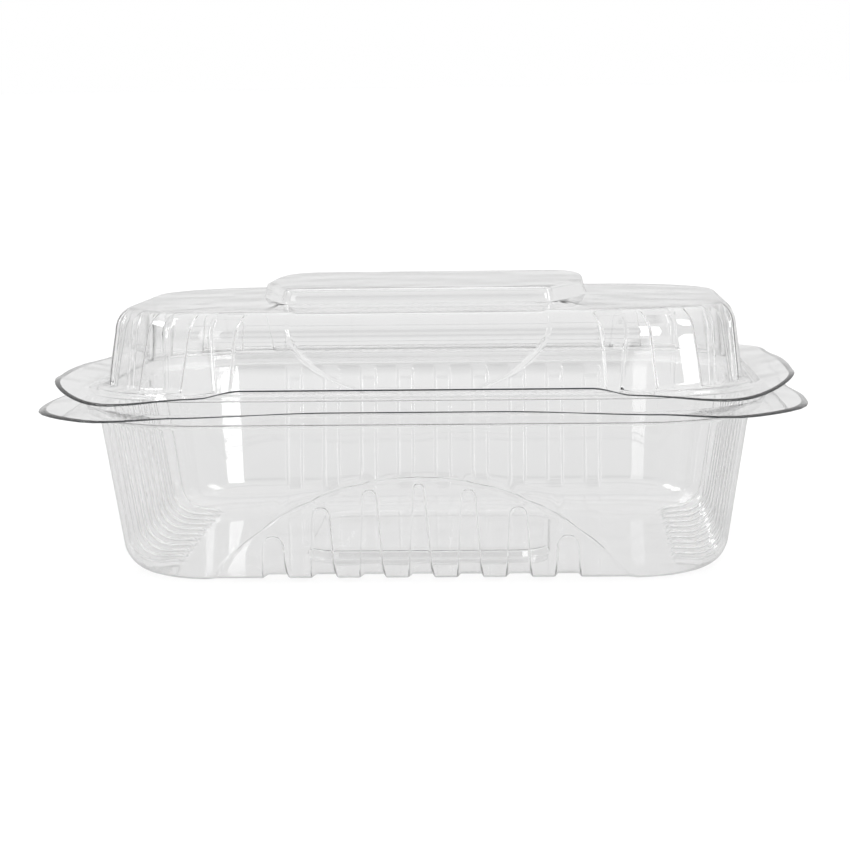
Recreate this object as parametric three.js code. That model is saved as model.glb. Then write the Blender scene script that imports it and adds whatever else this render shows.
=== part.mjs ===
// A clear hinged takeaway meal container, formed from one thin sheet: a ribbed tub with a wide flange,
// and a domed lid that turns on a living hinge along the back.
// Millimetres, +Z up, front towards -Y. The origin is on the ground under the middle of the whole.
import * as THREE from 'three';

// Driving dimensions, in millimetres and degrees.
const SHEET = 0.4;
const TUB = { halfWidth: 81.15, halfDepth: 68, corner: 30 };
const WALL = { top: 38.9, draft: 9, foot: 8, ribTop: 35.5 };
const SIDE_RIBS = { first: -38, pitch: 8, count: 11, depth: 0.9, reach: 6 };
const BACK_RIBS = { count: 9, pitch: 10.86, halfWidth: 2.6, flank: 0.8, depth: 0.9, low: 7 };
const ARCH = { rise: 26.7, radius: 64, step: 0.6 };
const FINGERS = {
  count: 7, pitch: 12, rise: 24.9, sag: 0.0101, topHalf: 1.15, spread: 0.035, footHalf: 2.95,
};
const FINGER_DEPTH = { top: 0.8, slope: 0.17, flank: 0.7 };
const PANEL = { halfWidth: 30.3, halfDepth: 30.3, corner: 9 };
const PANEL_LIFT = 2;
const PANEL_BEVEL = 1.4;
const FLOOR_RING = { halfWidth: 44, halfDepth: 37, corner: 14 };
const FLOOR_RING_WIDTH = 4;
const RIB_ENDS = { halfDepth: 46.5, corner: 11 };
const LEDGE = [[2, 39.2], [3, 40.1], [3.3, 42.6], [4, 43.1]];
const LID = { halfWidth: 80, halfDepth: 64, corner: 32 };
const DOME = { foot: 43.75, top: 62.5, shoulder: 4.5 };
const PLATEAU = { halfWidth: 76, halfDepth: 53.4, corner: 23.5 };
const SHOULDER_FOOT = { halfWidth: 78.73, halfDepth: 57.95, corner: 27.1 };
const FLUTES = { spacing: 22.5, topHalf: 3.15, footHalf: 1.6, depth: 1, flank: 0.8 };
const SMILE = { halfWidth: 32.2, drop: 19.5, top: 61.6, step: 0.6 };
const PLUG = [[0.4, 43.6], [0.9, 42.3], [2.1, 42.2], [2.6, 43.9]];
const BLOCK = { front: 38.5, frontHalf: 31, side: 42.3, back: 45.5, backHalf: 33 };
const BLOCK_CORNER = { x: 34, y: -36 };
const BLOCK_SIDE = { front: -5, back: 20 };
const BLOCK_TOP = { width: 0.98, front: 0.93, back: 0.98 };
const BLOCK_RISE = 4.6;
const HINGE = { y: 77.33, z: 43.35, leafGap: 0.7, clear: 0.2 };
const AJAR = 1.475;

// The cut edges' reach outside the wall and their height, in pairs of [place, value]. The place is the
// distance from the middle of the front plus the degrees turned round the corner, the distance from the
// middle of a side towards the back, or the degrees turned round a back corner.
const TUB_EDGE = {
  frontReach: [[58, 8], [88, 15.9], [112, 16.4], [141, 13.85]],
  frontHeight: [[20, 44.05], [60, 42.9], [92, 42]],
  sideReach: [[-38, 13.85], [-10, 11.2]],
  sideHeight: [[0, 42]],
  cornerReach: 11.2,
  backHeight: [[20, 43], [80, 42]],
  leafEnd: 90,
};
const LID_EDGE = {
  frontReach: [[42, 6.5], [52, 8.5], [100, 10.4], [141, 11.2]],
  frontHeight: [[42, 45.3], [52, 43.6], [90, 41.5], [141, 45.6]],
  sideReach: [[0, 11.2], [38, 10]],
  sideHeight: [[-38, 45.6], [-20, 46], [38, 44.6]],
  cornerReach: 10,
  backHeight: [[0, HINGE.z + HINGE.leafGap / 2], [90, 44.6]],
  leafEnd: 45,
};

const MID = SHEET / 2;
const ROUNDING = 1e-9;
const SQUARE = 0.99;
const radians = (degrees) => degrees * Math.PI / 180;
const clamp = (value, low, high) => Math.min(high, Math.max(low, value));
const mix = (a, b, share) => a + (b - a) * share;

// 0 below low, 1 above high, and a smooth rise between.
function rise(value, low, high) {
  const share = clamp((value - low) / (high - low), 0, 1);
  return share * share * (3 - 2 * share);
}

// The value at x on a smooth line through [x, value] pairs.
function follow(pairs, x) {
  let value = pairs[0][1];
  for (let i = 1; i < pairs.length; i += 1) {
    value += (pairs[i][1] - pairs[i - 1][1]) * rise(x, pairs[i - 1][0], pairs[i][0]);
  }
  return value;
}

// The columns of a loop round a rounded rectangle, from the middle of the front and counterclockwise.
// fx and fy place a column on the inner core rectangle, and nx and ny point outwards.
// front and back hold places across the front and the back, along those of the sides from front to back,
// and corner the degrees from a side towards the front or the back.
function loopColumns(core, front, along, back, corner) {
  const columns = [];
  const add = (fx, fy, degrees) => {
    columns.push({ fx, fy, nx: Math.cos(radians(degrees)), ny: Math.sin(radians(degrees)) });
  };
  front.filter((x) => x >= 0).forEach((x) => add(x / core.x, -1, -90));
  [...corner].reverse().forEach((turn) => add(1, -1, -turn));
  along.forEach((y) => add(1, y / core.y, 0));
  corner.forEach((turn) => add(1, 1, turn));
  [...back].reverse().forEach((x) => add(x / core.x, 1, 90));
  [...corner].reverse().forEach((turn) => add(-1, 1, 180 - turn));
  [...along].reverse().forEach((y) => add(-1, y / core.y, 180));
  corner.forEach((turn) => add(-1, -1, 180 + turn));
  front.filter((x) => x < 0).forEach((x) => add(x / core.x, -1, -90));
  return columns;
}

function place(column, size, grow, z) {
  const reach = size.corner + grow;
  const x = (size.halfWidth - size.corner) * column.fx + reach * column.nx;
  const y = (size.halfDepth - size.corner) * column.fy + reach * column.ny;
  return new THREE.Vector3(x, y, z);
}

// Angle round the middle from the front, by which rings with different columns are joined.
function bearing(point) {
  const angle = Math.atan2(point.x, -point.y);
  return angle < -ROUNDING ? angle + 2 * Math.PI : Math.abs(angle);
}

// Numbers from start in equal steps, count of them.
const steps = (start, step, count) => Array.from({ length: count }, (_, i) => start + step * i);

// A middle surface: rings from the centre outwards, joined in triangles that face away from the food.
class Sheet {
  constructor() {
    this.points = [];
    this.faces = [];
    this.last = null;
  }

  addRing(points) {
    const ring = points.map((point) => this.points.push(point) - 1);
    if (this.last) this.join(this.last, ring);
    this.last = ring;
    return this;
  }

  addCentre(point) {
    this.points.push(point);
    this.last = [0];
    return this;
  }

  join(inner, outer) {
    const same = inner.length === outer.length;
    const inAngles = inner.map((i) => bearing(this.points[i]));
    const outAngles = outer.map((i) => bearing(this.points[i]));
    let a = 0;
    let b = 0;
    while (a < inner.length || b < outer.length) {
      const nextIn = inAngles[a + 1] ?? 2 * Math.PI;
      const nextOut = outAngles[b + 1] ?? 2 * Math.PI;
      const stepOut = inner.length === 1 || a >= inner.length
        || (b < outer.length && (same ? b <= a : nextOut <= nextIn));
      const i = inner[a % inner.length];
      const o = outer[b % outer.length];
      if (stepOut) {
        if (b >= outer.length) break;
        this.faces.push([i, outer[(b + 1) % outer.length], o]);
        b += 1;
      } else {
        this.faces.push([i, inner[(a + 1) % inner.length], o]);
        a += 1;
      }
    }
  }

  // Directions out of the surface at each point, weighted by the corner angles of the faces there.
  normals() {
    const normals = this.points.map(() => new THREE.Vector3());
    const triangle = new THREE.Triangle();
    const out = new THREE.Vector3();
    for (const face of this.faces) {
      triangle.setFromPointsAndIndices(this.points, ...face);
      triangle.getNormal(out);
      face.forEach((index, k) => {
        const here = this.points[index];
        const one = this.points[face[(k + 1) % 3]].clone().sub(here);
        const two = this.points[face[(k + 2) % 3]].clone().sub(here);
        normals[index].addScaledVector(out, one.angleTo(two));
      });
    }
    return normals.map((normal) => normal.normalize());
  }

  // The closed solid of the sheet's thickness round the middle surface, with a cut edge at its last ring.
  geometry() {
    const normals = this.normals();
    const count = this.points.length;
    const outside = this.points.map((point, i) => point.clone().addScaledVector(normals[i], MID));
    const inside = this.points.map((point, i) => point.clone().addScaledVector(normals[i], -MID));
    const index = this.faces.flat();
    this.faces.forEach(([a, b, c]) => index.push(a + count, c + count, b + count));
    this.last.forEach((here, i) => {
      const next = this.last[(i + 1) % this.last.length];
      index.push(here, next, next + count, here, next + count, here + count);
    });
    const geometry = new THREE.BufferGeometry().setFromPoints([...outside, ...inside]);
    geometry.setIndex(index);
    return geometry;
  }
}

// Tub: the front wall has an arch round seven tapered grooves, the sides and the back have ribs.
const archHeight = (x) => {
  const inside = ARCH.radius ** 2 - x * x;
  return inside > 0 ? ARCH.rise - ARCH.radius + Math.sqrt(inside) : -ARCH.radius;
};
const fingerTop = (x) => FINGERS.rise - FINGERS.sag * x * x;
const fingerCentres = steps(-FINGERS.pitch * (FINGERS.count - 1) / 2, FINGERS.pitch, FINGERS.count);
const backCentres = steps(-BACK_RIBS.pitch * (BACK_RIBS.count - 1) / 2, BACK_RIBS.pitch, BACK_RIBS.count);

// How far a front point is pushed in, whole footprint and all: the arch's step and the grooves.
function frontPush(x, z) {
  const arch = ARCH.step * rise(archHeight(x) - z, -0.5, 0.5);
  const centre = FINGERS.pitch * Math.round(x / FINGERS.pitch);
  const top = fingerTop(centre);
  if (Math.abs(centre) > fingerCentres.at(-1) || z > top) return arch;
  const half = mix(FINGERS.topHalf + FINGERS.spread * Math.abs(centre), FINGERS.footHalf, (top - z) / top);
  const across = 1 - rise(Math.abs(x - centre), half - FINGER_DEPTH.flank / 2, half + FINGER_DEPTH.flank);
  return arch + across * (FINGER_DEPTH.top * rise(top - z, 0, 1) + FINGER_DEPTH.slope * (top - z));
}

// How far the sheet is pushed in by the ribs of the sides and the back.
function ribPush(column, z) {
  const fade = 1 - rise(z, WALL.ribTop, WALL.top);
  if (column.ny > SQUARE) {
    const x = column.fx * (TUB.halfWidth - TUB.corner);
    const near = Math.min(...backCentres.map((centre) => Math.abs(x - centre)));
    const across = 1 - rise(near, BACK_RIBS.halfWidth - BACK_RIBS.flank, BACK_RIBS.halfWidth);
    return BACK_RIBS.depth * across * fade * rise(z, BACK_RIBS.low, BACK_RIBS.low + 2);
  }
  const rib = (column.ribY - SIDE_RIBS.first) / SIDE_RIBS.pitch;
  if (column.ribY === undefined || rib < -0.5 || rib > SIDE_RIBS.count - 0.5) return 0;
  return SIDE_RIBS.depth * (1 - Math.abs(Math.sin(Math.PI * rib))) * fade;
}

const tubCore = { x: TUB.halfWidth - TUB.corner, y: TUB.halfDepth - TUB.corner };
const wallLean = Math.tan(radians(WALL.draft));
const footCentre = -(WALL.top - WALL.foot - MID + WALL.foot * Math.sin(radians(WALL.draft))) * wallLean
  - WALL.foot * Math.cos(radians(WALL.draft));
const footTop = MID + WALL.foot * (1 - Math.sin(radians(WALL.draft)));
const floorCorner = TUB.corner + footCentre;

// A wall point: its ribs stand off along the sheet's own direction, lean degrees below level.
function tubPoint(column, grow, z, lean) {
  const point = place(column, TUB, grow, z);
  const ribs = ribPush(column, z);
  const front = column.ny < -SQUARE ? frontPush(point.x, z) : 0;
  const push = ribs * Math.cos(radians(lean)) + front;
  point.x -= column.nx * push;
  point.y -= column.ny * push;
  point.z += ribs * Math.sin(radians(lean));
  return point;
}

// Wall heights of a column: on the front they follow the groove tops and the arch.
const LEAST_ROW = 0.6;
function wallHeights(column) {
  const plain = [12, 17, 21, 25, 30];
  const x = Math.abs(column.fx * tubCore.x);
  if (column.ny > -SQUARE) return plain;
  const top = fingerTop(x);
  const arch = archHeight(x);
  const edge = rise(x, fingerCentres.at(-1) + 4, tubCore.x);
  const shaped = [mix(footTop, top, 0.5), top - 1, top + 0.1, arch - 0.5, arch + 0.5];
  let below = footTop;
  return shaped.map((height, i) => {
    below = Math.max(mix(height, plain[i], edge), below + LEAST_ROW);
    return below;
  });
}

// Columns lie on the middle and the flanks of each groove, and on the top and the bottom of each rib.
function tubWallColumns() {
  const grooves = fingerCentres.flatMap((x) => [-3.6, -2.4, 0, 2.4, 3.6].map((dx) => x + dx));
  const front = [-48.5, -46, -43, ...grooves, 43, 46, 48.5];
  const ribHalf = BACK_RIBS.halfWidth;
  const ribTop = ribHalf - BACK_RIBS.flank;
  const ribs = backCentres.flatMap((x) => [x - ribHalf, x - ribTop, x + ribTop, x + ribHalf]);
  const halfPitch = SIDE_RIBS.pitch / 2;
  const along = steps(SIDE_RIBS.first + halfPitch, halfPitch, 18);
  const lastRib = SIDE_RIBS.first + SIDE_RIBS.pitch * (SIDE_RIBS.count - 1);
  const onCorner = (y) => Math.asin((y - tubCore.y) / floorCorner) * 180 / Math.PI;
  const corner = [0, onCorner(lastRib), onCorner(lastRib + halfPitch), 45, 60, 75, 90];
  const columns = loopColumns(tubCore, front, along, ribs, corner);
  for (const column of columns) {
    if (Math.abs(column.nx) > 0.1) column.ribY = tubCore.y * column.fy + floorCorner * column.ny;
  }
  return columns;
}

// A ring of plain columns, for the floor, the flange and the plain parts of the lid.
function plainColumns(core) {
  const front = steps(-core.x, core.x / 5, 11).slice(1, -1);
  const along = steps(-core.y, core.y / 4, 9).slice(1, -1);
  return loopColumns(core, front, along, front, [0, 13, 26, 39, 52, 65, 78, 90]);
}

// Reach and height of a flange's cut edge, by the place round the rim. Along the back it ends at the hinge.
function flangeEdge(column, edge) {
  const turn = Math.atan2(Math.abs(column.nx), Math.abs(column.ny)) * 180 / Math.PI;
  if (Math.abs(column.nx) > 0.999) {
    const y = column.fy * tubCore.y;
    return { reach: follow(edge.sideReach, y), z: follow(edge.sideHeight, y) };
  }
  if (column.fy < 0) {
    const along = Math.abs(column.fx) * tubCore.x + turn;
    return { reach: follow(edge.frontReach, along), z: follow(edge.frontHeight, along) };
  }
  const leaf = HINGE.y - HINGE.clear - TUB.halfDepth;
  const reach = follow([[0, leaf], [edge.leafEnd, edge.cornerReach]], turn);
  return { reach, z: follow(edge.backHeight, turn) };
}

// The two rings of a flange, from the end of the rim's section to the cut edge.
function addFlange(sheet, columns, [rimReach, rimHeight], edge) {
  for (const share of [0.5, 1]) {
    sheet.addRing(columns.map((column) => {
      const end = flangeEdge(column, edge);
      return place(column, TUB, mix(rimReach, end.reach, share), mix(rimHeight, end.z, share));
    }));
  }
}

function makeTub() {
  const sheet = new Sheet();
  const plain = plainColumns(tubCore);
  const ribEnds = { halfWidth: TUB.halfWidth + footCentre - SIDE_RIBS.reach, ...RIB_ENDS };
  sheet.addCentre(new THREE.Vector3(0, 0, MID + PANEL_LIFT));
  sheet.addRing(plain.map((column) => place(column, PANEL, -PANEL_BEVEL, MID + PANEL_LIFT)));
  sheet.addRing(plain.map((column) => place(column, PANEL, 0, MID)));
  sheet.addRing(plain.map((column) => place(column, FLOOR_RING, 0, MID)));
  sheet.addRing(plain.map((column) => place(column, FLOOR_RING, FLOOR_RING_WIDTH, MID)));
  const columns = tubWallColumns();
  sheet.addRing(columns.map((column) => place(column, ribEnds, 0, MID)));
  for (const lean of [90, 50, WALL.draft]) {
    const grow = footCentre + WALL.foot * Math.cos(radians(lean));
    const z = MID + WALL.foot * (1 - Math.sin(radians(lean)));
    sheet.addRing(columns.map((column) => tubPoint(column, grow, z, lean)));
  }
  const heights = columns.map((column) => [...wallHeights(column), WALL.ribTop, WALL.top]);
  for (let row = 0; row < heights[0].length; row += 1) {
    sheet.addRing(columns.map((column, i) => {
      const z = heights[i][row];
      return tubPoint(column, (z - WALL.top) * wallLean, z, 0);
    }));
  }
  for (const [grow, z] of LEDGE) {
    sheet.addRing(plain.map((column) => place(column, TUB, grow, z)));
  }
  addFlange(sheet, plain, LEDGE.at(-1), TUB_EDGE);
  return sheet;
}

// Lid: a shallow dome with tapered flutes round its corners, a smile-shaped field on its front, and a
// raised stacking block on its top.
const lidCore = { x: LID.halfWidth - LID.corner, y: LID.halfDepth - LID.corner };

// How far a dome point is pushed in: a corner's flutes, or the field on the front.
function lidPush(column, point) {
  const share = clamp((point.z - DOME.foot) / (DOME.top - DOME.foot), 0, 1);
  if (column.fluteAway !== undefined) {
    const half = mix(FLUTES.footHalf, FLUTES.topHalf, share);
    return FLUTES.depth * (1 - rise(column.fluteAway, half - FLUTES.flank / 2, half + FLUTES.flank / 2));
  }
  if (column.ny > -SQUARE) return 0;
  const inEllipse = Math.hypot(point.x / SMILE.halfWidth, (SMILE.top - point.z) / SMILE.drop);
  return SMILE.step * (1 - rise(inEllipse, 0.97, 1.03));
}

function lidWallColumns() {
  const front = [-40, -33.5, -31, -28, -24, -19, -15, -6, 6, 15, 19, 24, 28, 31, 33.5, 40];
  const back = [-30, -10, 10, 30];
  const nearFlute = [-4, -1.8];
  const flank = nearFlute.map((away) => lidCore.y + away);
  const along = [...flank.map((y) => -y).reverse(), 0, ...flank];
  const ends = nearFlute.map((away) => lidCore.x + away);
  const mirrored = [...ends.map((x) => -x).reverse()];
  const corner = [0, 3, 7];
  for (let turn = FLUTES.spacing; turn < 90; turn += FLUTES.spacing) {
    corner.push(turn - 7, turn - 3, turn, turn + 3, turn + 7);
  }
  corner.push(83, 87, 90);
  const columns = loopColumns(
    lidCore, [...mirrored, ...front, ...ends], along, [...mirrored, ...back, ...ends], corner,
  );
  const middle = (LID.corner + PLATEAU.corner) / 2;
  for (const column of columns) {
    const turn = Math.atan2(Math.abs(column.ny), Math.abs(column.nx)) * 180 / Math.PI;
    const nearest = Math.round(turn / FLUTES.spacing) * FLUTES.spacing;
    const straight = (1 - Math.abs(column.fx)) * lidCore.x + (1 - Math.abs(column.fy)) * lidCore.y;
    const away = straight + middle * radians(Math.abs(turn - nearest));
    if (away < FLUTES.topHalf + 2) column.fluteAway = away;
  }
  return columns;
}

// The stacking block's foot: a straight front, slanting front corners, full sides and a round back.
function blockOutline() {
  const path = new THREE.Path();
  path.moveTo(0, -BLOCK.front);
  path.lineTo(BLOCK.frontHalf, -BLOCK.front);
  path.quadraticCurveTo(BLOCK_CORNER.x, -BLOCK.front, BLOCK_CORNER.x, BLOCK_CORNER.y);
  path.lineTo(BLOCK.side, BLOCK_SIDE.front);
  path.lineTo(BLOCK.side, BLOCK_SIDE.back);
  path.quadraticCurveTo(BLOCK.side, BLOCK.back, BLOCK.backHalf, BLOCK.back);
  path.lineTo(-BLOCK.backHalf, BLOCK.back);
  path.quadraticCurveTo(-BLOCK.side, BLOCK.back, -BLOCK.side, BLOCK_SIDE.back);
  path.lineTo(-BLOCK.side, BLOCK_SIDE.front);
  path.lineTo(-BLOCK_CORNER.x, BLOCK_CORNER.y);
  path.quadraticCurveTo(-BLOCK_CORNER.x, -BLOCK.front, -BLOCK.frontHalf, -BLOCK.front);
  path.lineTo(0, -BLOCK.front);
  return path.getPoints(5).slice(0, -1);
}

function makeLid() {
  const sheet = new Sheet();
  const outline = blockOutline();
  const blockTop = outline.map((p) => (
    new THREE.Vector2(p.x * BLOCK_TOP.width, p.y * (p.y < 0 ? BLOCK_TOP.front : BLOCK_TOP.back))
  ));
  sheet.addCentre(new THREE.Vector3(0, 0, DOME.top + BLOCK_RISE));
  sheet.addRing(blockTop.map((p) => new THREE.Vector3(p.x, p.y, DOME.top + BLOCK_RISE)));
  sheet.addRing(outline.map((p) => new THREE.Vector3(p.x, p.y, DOME.top)));
  const columns = lidWallColumns();
  const bend = DOME.shoulder * (1 - Math.SQRT1_2);
  const shrink = (size, by) => ({
    halfWidth: size.halfWidth - by, halfDepth: size.halfDepth - by, corner: size.corner - by,
  });
  const between = (a, b, share) => ({
    halfWidth: mix(a.halfWidth, b.halfWidth, share),
    halfDepth: mix(a.halfDepth, b.halfDepth, share),
    corner: mix(a.corner, b.corner, share),
  });
  const wallTop = DOME.top - DOME.shoulder;
  const levels = [
    [PLATEAU, DOME.top],
    [shrink(SHOULDER_FOOT, bend), DOME.top - bend],
    [SHOULDER_FOOT, wallTop],
    [between(SHOULDER_FOOT, LID, 0.5), mix(wallTop, DOME.foot, 0.5)],
    [LID, DOME.foot],
  ];
  for (const [size, z] of levels) {
    sheet.addRing(columns.map((column) => {
      const point = place(column, size, 0, z);
      const push = z === DOME.top ? 0 : lidPush(column, point);
      point.x -= column.nx * push;
      point.y -= column.ny * push;
      return point;
    }));
  }
  const plain = plainColumns(tubCore);
  for (const [grow, z] of PLUG) {
    sheet.addRing(plain.map((column) => place(column, TUB, grow, z)));
  }
  addFlange(sheet, plain, PLUG.at(-1), LID_EDGE);
  return sheet;
}

const clearPlastic = (name) => {
  const material = new THREE.MeshStandardMaterial({
    color: '#e9ebea', roughness: 0.06, metalness: 0, transparent: true, opacity: 0.3,
  });
  material.name = name;
  return material;
};

const tub = new THREE.Mesh(makeTub().geometry(), clearPlastic('clear_plastic'));
tub.name = 'tub';

const lid = new THREE.Mesh(makeLid().geometry(), clearPlastic('clear_plastic'));
lid.name = 'lid';
lid.position.set(0, -HINGE.y, -HINGE.z);

// The springy lid rests a little ajar, so its group is turned round the hinge line.
const lidTurn = new THREE.Group();
lidTurn.position.set(0, HINGE.y, HINGE.z);
lidTurn.rotation.x = -radians(AJAR);
lidTurn.add(lid);

const container = new THREE.Group();
container.add(tub, lidTurn);

export default container;
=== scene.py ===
# %% [markdown]
# # A clear hinged takeaway container
# The real box is one sheet of clear polyester, about 0.4 mm thick, that was warmed and drawn into a mould.
# It makes a ribbed tub, a domed lid and a thin fold between them. The measured model gives its size and its
# hinge. This lesson draws the same sheet again with far more faces, so that light bends in it as it does
# in the real one. Everything stays in the model's own frame, in metres.

# %% Load the measured model
import math
import bpy
import numpy as np
from mathutils import Matrix, Vector


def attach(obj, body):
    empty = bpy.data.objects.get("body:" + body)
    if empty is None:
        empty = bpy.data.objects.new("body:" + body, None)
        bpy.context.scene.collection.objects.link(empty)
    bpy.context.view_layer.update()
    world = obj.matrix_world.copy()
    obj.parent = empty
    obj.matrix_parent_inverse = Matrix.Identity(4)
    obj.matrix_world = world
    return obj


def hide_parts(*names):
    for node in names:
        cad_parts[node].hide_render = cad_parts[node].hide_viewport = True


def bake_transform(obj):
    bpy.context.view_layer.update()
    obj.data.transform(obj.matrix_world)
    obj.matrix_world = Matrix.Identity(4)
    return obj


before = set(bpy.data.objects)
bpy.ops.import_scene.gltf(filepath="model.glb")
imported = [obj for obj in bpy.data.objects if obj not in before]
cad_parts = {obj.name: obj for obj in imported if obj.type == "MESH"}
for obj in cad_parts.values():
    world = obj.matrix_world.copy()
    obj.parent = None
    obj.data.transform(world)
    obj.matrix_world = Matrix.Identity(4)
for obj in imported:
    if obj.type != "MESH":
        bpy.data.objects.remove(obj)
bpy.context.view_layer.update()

# %% [markdown]
# ## Colours and nodes
# Colours are written as people pick them, in sRGB hex, and Blender's sockets want linear light, so one
# function turns them over. Every material below is built from nodes, and one small function adds a node
# with its settings and what feeds its sockets.


# %% Helpers for colours and nodes
def linear(code):
    """The linear colour, with alpha, of an sRGB hex code."""
    shares = [int(code[i:i + 2], 16) / 255 for i in (1, 3, 5)]
    return (*[s / 12.92 if s <= 0.04045 else ((s + 0.055) / 1.055) ** 2.4 for s in shares], 1.0)


def add(tree, kind, inputs=None, **settings):
    """Add one node. An input is a value or the socket that feeds it."""
    node = tree.nodes.new(kind)
    for name, value in settings.items():
        setattr(node, name, value)
    for name, value in (inputs or {}).items():
        if isinstance(value, bpy.types.NodeSocket):
            tree.links.new(value, node.inputs[name])
        else:
            node.inputs[name].default_value = value
    return node


def new_material(name):
    """An empty node material and its tree."""
    material = bpy.data.materials.new(name)
    material.use_nodes = True
    material.node_tree.nodes.clear()
    return material, material.node_tree


MM = 0.001
print("the paper's grey #dadada is", round(linear("#dadada")[0], 3), "in linear light")

# %% [markdown]
# ## Clear formed polyester
# Clear polyester sheet has an IOR of about 1.57. It comes off polished rollers, so it is very smooth, but
# drawing it into a mould leaves slow waves about 15 mm long, and handling leaves patches of faint haze. To
# the eye that gives crisp glints on the bends and soft, slightly wavy ones on the flat faces.
# A lamp's light goes through such a thin sheet almost straight, which a renderer's glass doesn't show by
# itself: it would throw a dark shadow. So a light path node lets shadow and diffuse rays pass.


# %% Clear formed polyester
SHEET_IOR = 1.57
WAVE_MM = 15
HAZE_MM = 22


def clear_sheet(name, tint, smooth, hazy, wave_height_mm):
    """Clear sheet: smooth and hazy are its least and most roughness."""
    material, tree = new_material(name)
    place = add(tree, "ShaderNodeTexCoord").outputs["Object"]
    waves = add(tree, "ShaderNodeTexNoise",
                {"Vector": place, "Scale": 1 / (WAVE_MM * MM), "Detail": 1.0, "Roughness": 0.4})
    surface = add(tree, "ShaderNodeBump",
                  {"Height": waves.outputs["Fac"], "Strength": 1.0, "Distance": wave_height_mm * MM})
    patches = add(tree, "ShaderNodeTexNoise",
                  {"Vector": place, "Scale": 1 / (HAZE_MM * MM), "Detail": 4.0, "Roughness": 0.65})
    haze = add(tree, "ShaderNodeMapRange",
               {"Value": patches.outputs["Fac"], "From Min": 0.4, "From Max": 0.75,
                "To Min": smooth, "To Max": hazy})
    plastic = add(tree, "ShaderNodeBsdfPrincipled",
                  {"Base Color": linear(tint), "Roughness": haze.outputs["Result"], "IOR": SHEET_IOR,
                   "Transmission Weight": 1.0, "Normal": surface.outputs["Normal"]})
    through = add(tree, "ShaderNodeBsdfTransparent", {"Color": linear("#fcfcfc")})
    path = add(tree, "ShaderNodeLightPath")
    soft = add(tree, "ShaderNodeMath", {0: path.outputs["Is Shadow Ray"], 1: path.outputs["Is Diffuse Ray"]},
               operation="MAXIMUM")
    both = add(tree, "ShaderNodeMixShader",
               {0: soft.outputs[0], 1: plastic.outputs[0], 2: through.outputs[0]})
    add(tree, "ShaderNodeOutputMaterial", {"Surface": both.outputs[0]})
    return material


formed_sheet = clear_sheet("clear_formed_polyester", "#fefefe", smooth=0.015, hazy=0.05, wave_height_mm=0.03)
print(formed_sheet.name, "with", len(formed_sheet.node_tree.nodes), "nodes")

# %% [markdown]
# ## The sheared edge
# The box is cut out of its sheet by a steel rule. The cut face is slightly torn, and seen from the side it
# looks down the whole width of the flange, so it shows as a thin dark line. That dark line is painted shade:
# the cut face gets a dark, half clear material, with fine streaks across the sheet about 0.4 mm apart.


# %% Sheared polyester edge
STREAK_MM = 0.4


def sheared_edge():
    """The cut face of the sheet, painted dark for the shade seen down the flange."""
    material, tree = new_material("sheared_polyester_edge")
    place = add(tree, "ShaderNodeTexCoord").outputs["Object"]
    streaks = add(tree, "ShaderNodeTexNoise",
                  {"Vector": place, "Scale": 1 / (STREAK_MM * MM), "Detail": 2.0})
    # Painted shade: the dark ramp stands in for the dark seen down the width of the flange, and the streaks
    # vary it.
    colour = add(tree, "ShaderNodeValToRGB", {"Fac": streaks.outputs["Fac"]})
    colour.color_ramp.elements[0].color = linear("#1e2426")
    colour.color_ramp.elements[1].color = linear("#5d6568")
    torn = add(tree, "ShaderNodeMapRange",
               {"Value": streaks.outputs["Fac"], "To Min": 0.2, "To Max": 0.5})
    edge = add(tree, "ShaderNodeBsdfPrincipled",
               {"Base Color": colour.outputs["Color"], "Roughness": torn.outputs["Result"],
                "IOR": SHEET_IOR, "Transmission Weight": 0.25})
    add(tree, "ShaderNodeOutputMaterial", {"Surface": edge.outputs[0]})
    return material


cut_edge = sheared_edge()
print(cut_edge.name)

# %% [markdown]
# ## Places round the box
# Every level of the tub and the lid is a rounded rectangle. A place on it is one number, the distance
# walked round the inner core from the middle of the front, to the right for a positive number and to the
# left for a negative one. NumPy works a whole ring out at once.


# %% A loop round the box
def rise(value, low, high):
    """0 below low, 1 above high and a smooth rise between."""
    share = np.clip((value - low) / (high - low), 0, 1)
    return share * share * (3 - 2 * share)


def mix(a, b, share):
    return a + (b - a) * share


class Loop:
    """Places round a rounded rectangle: a core rectangle, and a corner arc that sets the walking pace."""

    def __init__(self, core_x, core_y, arc):
        self.core_x, self.core_y, self.arc = core_x, core_y, arc
        self.turn = arc * math.pi / 2
        self.half = 2 * (core_x + core_y + self.turn)

    def at(self, s):
        """The core point's shares of the half width and depth, and the direction outwards."""
        side = np.where(s < 0, -1.0, 1.0)
        walked = np.abs(s) - self.core_x
        first = np.clip(walked / self.turn, 0, 1)
        straight = np.clip(walked - self.turn, 0, 2 * self.core_y)
        second = np.clip((walked - self.turn - 2 * self.core_y) / self.turn, 0, 1)
        last = np.maximum(walked - 2 * self.turn - 2 * self.core_y, 0)
        angle = (first + second - 1) * math.pi / 2
        across = np.where(last > 0, self.core_x - last, np.minimum(np.abs(s), self.core_x))
        return (side * across / self.core_x, straight / self.core_y - 1,
                side * np.cos(angle), np.sin(angle))

    def whole(self, right):
        """All columns, counterclockwise from the front's middle, from those of the right half."""
        inner = np.unique(np.round([s for s in right if 0 < s < self.half - 1e-6], 5))
        return np.concatenate([[0.0], inner, [self.half], -inner[::-1]])


def ring(loop, s, size, grow, z):
    """Points of one level: size is its half width, half depth and corner, and grow widens it."""
    fx, fy, nx, ny = loop.at(s)
    half_width, half_depth, corner = size
    x = (half_width - corner) * fx + (corner + grow) * nx
    y = (half_depth - corner) * fy + (corner + grow) * ny
    return np.stack([x, y, np.broadcast_to(z, x.shape)], axis=1)


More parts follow.
